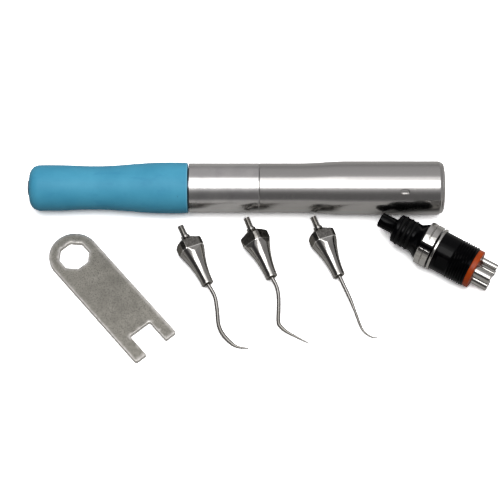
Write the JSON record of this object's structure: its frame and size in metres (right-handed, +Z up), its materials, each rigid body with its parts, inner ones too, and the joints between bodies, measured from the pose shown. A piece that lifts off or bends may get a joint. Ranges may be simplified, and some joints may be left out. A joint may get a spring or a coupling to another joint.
{
  "type": "dental air scaler kit",
  "caption": "Straight dental air scaler handpiece with a blue grip sleeve, loose hooked scaler tips, a flat tip wrench and a swivel hose coupler, laid out on a table.",
  "frame": {"origin": "centre of the whole layout's box, on the table it lies on", "axes": "+X along the handpiece from its nose to its rear, +Z up from the table"},
  "size_m": [0.1339, 0.0596, 0.0154],
  "materials": {
    "barrel_steel": "satin polished, fine turning lines",
    "inner_steel": "machined",
    "shaft_steel": "machined, dull",
    "muffler_bronze": "sintered",
    "rotor_brass": "turned",
    "black_rubber": "soft matte",
    "grip_silicone": "matte blue silicone, slightly specked",
    "tip_steel": "polished, satin towards the hook",
    "wrench_steel": "dull tumbled plate, brighter worn edges",
    "black_anodised": "glossy black anodised",
    "bright_chrome": "polished",
    "tube_chrome": "polished",
    "orange_gasket": "moulded, semi-gloss"
  },
  "bodies": {
    "handpiece": {"front_housing": "barrel_steel", "rear_housing": "barrel_steel", "nose_nut": "inner_steel", "rear_bush": "inner_steel", "manifold": "inner_steel", "manifold_ring": "black_rubber", "water_tube": "inner_steel", "feed_tube": "inner_steel", "muffler": "muffler_bronze", "joint_ring": "black_rubber", "socket_liner": "inner_steel"},
    "shaft": {"sonic_shaft": "shaft_steel", "front_ring": "black_rubber", "rear_ring": "black_rubber", "front_stop": "inner_steel", "rear_stop": "inner_steel", "shaft_nut": "inner_steel"},
    "rotor": {"rotor": "rotor_brass"},
    "grip": {"grip_sleeve": "grip_silicone"},
    "tip_1": {"tip_1": "tip_steel"},
    "tip_2": {"tip_2": "tip_steel"},
    "tip_3": {"tip_3": "tip_steel"},
    "wrench": {"wrench": "wrench_steel"},
    "coupler_nose": {"coupler_nose": "black_anodised", "nose_ring_1": "black_rubber", "nose_ring_2": "black_rubber", "nose_ring_3": "black_rubber", "split_ring": "bright_chrome", "swivel_clip": "inner_steel"},
    "coupler_tail": {"coupler_tail": "black_anodised", "tail_band": "bright_chrome", "hose_gasket": "orange_gasket", "exhaust_tube": "tube_chrome", "drive_tube": "tube_chrome", "water_pipe": "tube_chrome", "chip_air_pipe": "tube_chrome"}
  },
  "joints": [
    {"name": "shaft_rock", "type": "hinge", "parent": "handpiece", "child": "shaft", "pos_m": [-0.0289, 0.0221, 0.0077], "axis": [0, 0, 1], "range_deg": [-0.15, 0.15], "stiffness_Nm_per_rad": 0.2},
    {"name": "rotor_spin", "type": "hinge", "parent": "shaft", "child": "rotor", "pos_m": [-0.0429, 0.0221, 0.0077], "axis": [1, 0, 0], "continuous": true},
    {"name": "grip_slide", "type": "slide", "parent": "handpiece", "child": "grip", "axis": [-1, 0, 0], "range_m": [0, 0.05]},
    {"name": "tip_1_lift", "type": "slide", "parent": "handpiece", "child": "tip_1", "axis": [0, 0, 1], "range_m": [0, 0.06]},
    {"name": "tip_2_lift", "type": "slide", "parent": "handpiece", "child": "tip_2", "axis": [0, 0, 1], "range_m": [0, 0.06]},
    {"name": "tip_3_lift", "type": "slide", "parent": "handpiece", "child": "tip_3", "axis": [0, 0, 1], "range_m": [0, 0.06]},
    {"name": "wrench_lift", "type": "slide", "parent": "handpiece", "child": "wrench", "axis": [0, 0, 1], "range_m": [0, 0.06]},
    {"name": "coupler_lift", "type": "slide", "parent": "handpiece", "child": "coupler_nose", "axis": [0, 0, 1], "range_m": [0, 0.06]},
    {"name": "coupler_swivel", "type": "hinge", "parent": "coupler_nose", "child": "coupler_tail", "pos_m": [0.05324, 0.00094, 0.00627], "axis": [0.861, -0.5072, -0.0381], "continuous": true}
  ]
}
